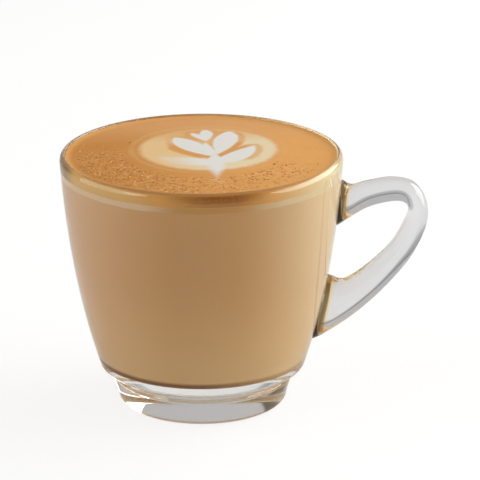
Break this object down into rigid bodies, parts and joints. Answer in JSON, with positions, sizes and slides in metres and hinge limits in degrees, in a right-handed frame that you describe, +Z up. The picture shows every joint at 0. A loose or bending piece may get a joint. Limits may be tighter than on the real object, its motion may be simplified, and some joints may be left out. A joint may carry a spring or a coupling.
{
  "type": "cup of coffee",
  "caption": "Handled clear glass cup on a stepped foot, filled to the brim with milk coffee under a crema with a poured milk tulip.",
  "frame": {"origin": "centre of the flat underside of the cup's foot", "axes": "+Z up along the cup's own axis, +X from the cup's axis towards its handle"},
  "size_m": [0.1082, 0.083, 0.0761],
  "materials": {
    "clear_glass": "clear, fire polished",
    "milk_coffee": "opaque liquid, wet",
    "milk_foam": "fine wet foam",
    "crema": "fine wet foam with small bubbles",
    "milk_halo": "milk foam stained by the crema",
    "steamed_milk": "fine wet white foam"
  },
  "bodies": {
    "root": {"glass_cup": "clear_glass", "latte": "milk_coffee", "milk_foam": "milk_foam", "crema": "crema", "milk_halo": "milk_halo", "milk_leaves": "steamed_milk", "milk_heart": "steamed_milk"}
  },
  "joints": []
}
